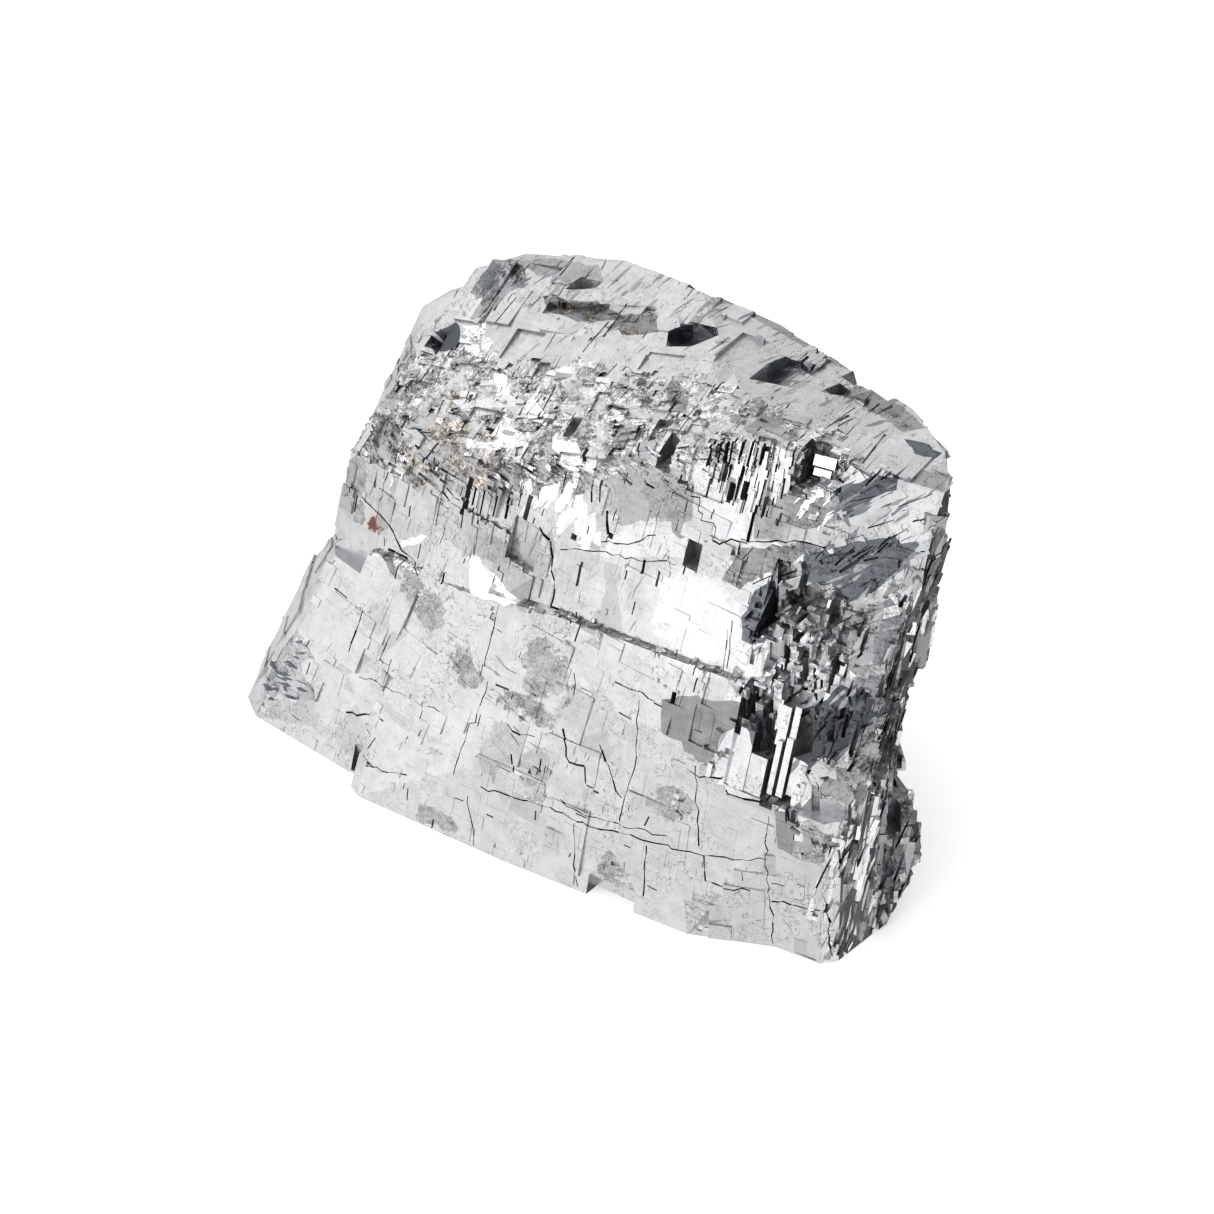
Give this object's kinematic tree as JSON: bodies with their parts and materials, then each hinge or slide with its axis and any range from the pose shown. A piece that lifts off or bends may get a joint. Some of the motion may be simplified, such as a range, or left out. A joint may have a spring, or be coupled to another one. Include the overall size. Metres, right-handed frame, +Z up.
{
  "type": "galena specimen",
  "caption": "Lump of galena with a broad stepped cleavage face, a broken-out corner and a rough top, lying on a flat cleavage.",
  "frame": {"origin": "middle of the lump's bounding box, at the flat cleavage that it rests on", "axes": "+X along the long front face, towards the broken-out corner; +Y into the lump, away from the front face; +Z up"},
  "size_m": [0.0662, 0.0384, 0.04],
  "materials": {
    "galena": "bright metallic cleavage faces, lead-grey, with duller crushed and tarnished ground between them"
  },
  "bodies": {
    "root": {"galena_lump": "galena"}
  },
  "joints": []
}
